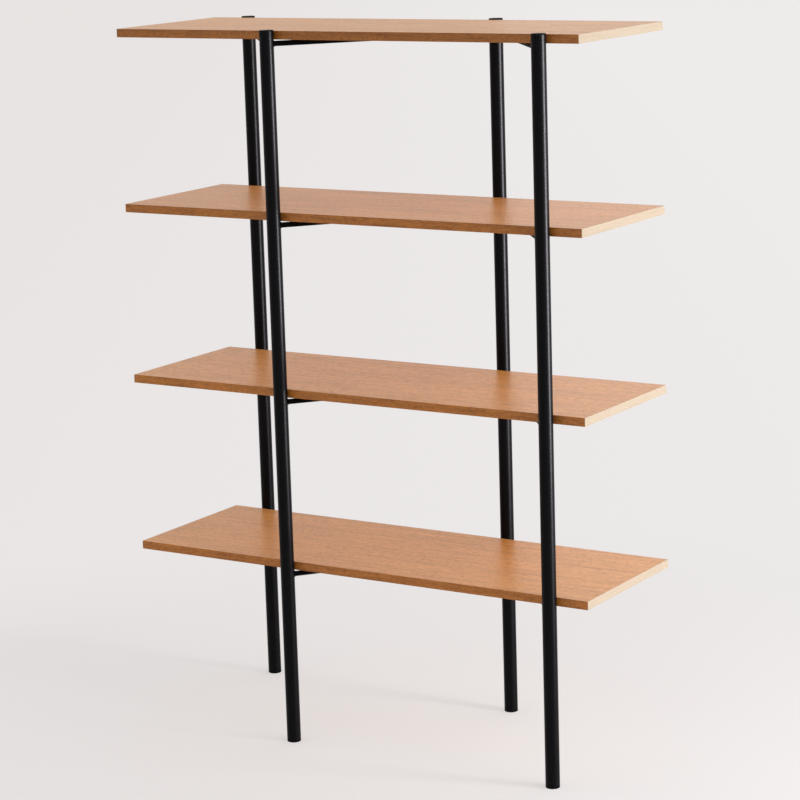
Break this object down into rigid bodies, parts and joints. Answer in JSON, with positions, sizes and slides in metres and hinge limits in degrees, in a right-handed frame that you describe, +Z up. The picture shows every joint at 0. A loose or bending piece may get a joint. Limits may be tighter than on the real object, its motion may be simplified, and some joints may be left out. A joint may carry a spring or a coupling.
{
  "type": "shelving unit",
  "caption": "Free-standing open shelving unit: oak-veneered boards between staggered round black steel posts, with a zigzag of thin bars under each board.",
  "frame": {"origin": "on the floor, under the middle of the unit", "axes": "+X along the boards to the right, +Y to the back, +Z up"},
  "size_m": [1.2, 0.451, 1.6425],
  "materials": {
    "black_steel": "satin powder coat",
    "black_plastic": "fine matt moulding",
    "oak_veneer": "satin lacquer on straight-grained oak",
    "oak_band": "satin lacquer on oak edge band",
    "fibreboard": "raw fibreboard",
    "zinc_screw": "bright zinc"
  },
  "bodies": {
    "root": {"post_back_left": "black_steel", "cap_back_left": "black_plastic", "foot_back_left": "black_plastic", "post_front_left": "black_steel", "cap_front_left": "black_plastic", "foot_front_left": "black_plastic", "post_back_right": "black_steel", "cap_back_right": "black_plastic", "foot_back_right": "black_plastic", "post_front_right": "black_steel", "cap_front_right": "black_plastic", "foot_front_right": "black_plastic", "shelf_1_core": "fibreboard", "shelf_1_lower_veneer": "oak_veneer", "shelf_1_upper_veneer": "oak_veneer", "shelf_1_long_bands": "oak_band", "shelf_1_end_bands": "oak_band", "shelf_1_left_bar": "black_steel", "shelf_1_cross_bar": "black_steel", "shelf_1_right_bar": "black_steel", "shelf_1_tabs": "black_steel", "shelf_1_screws": "zinc_screw", "shelf_2_core": "fibreboard", "shelf_2_lower_veneer": "oak_veneer", "shelf_2_upper_veneer": "oak_veneer", "shelf_2_long_bands": "oak_band", "shelf_2_end_bands": "oak_band", "shelf_2_left_bar": "black_steel", "shelf_2_cross_bar": "black_steel", "shelf_2_right_bar": "black_steel", "shelf_2_tabs": "black_steel", "shelf_2_screws": "zinc_screw", "shelf_3_core": "fibreboard", "shelf_3_lower_veneer": "oak_veneer", "shelf_3_upper_veneer": "oak_veneer", "shelf_3_long_bands": "oak_band", "shelf_3_end_bands": "oak_band", "shelf_3_left_bar": "black_steel", "shelf_3_cross_bar": "black_steel", "shelf_3_right_bar": "black_steel", "shelf_3_tabs": "black_steel", "shelf_3_screws": "zinc_screw", "shelf_4_core": "fibreboard", "shelf_4_lower_veneer": "oak_veneer", "shelf_4_upper_veneer": "oak_veneer", "shelf_4_long_bands": "oak_band", "shelf_4_end_bands": "oak_band", "shelf_4_left_bar": "black_steel", "shelf_4_cross_bar": "black_steel", "shelf_4_right_bar": "black_steel", "shelf_4_tabs": "black_steel", "shelf_4_screws": "zinc_screw"}
  },
  "joints": []
}
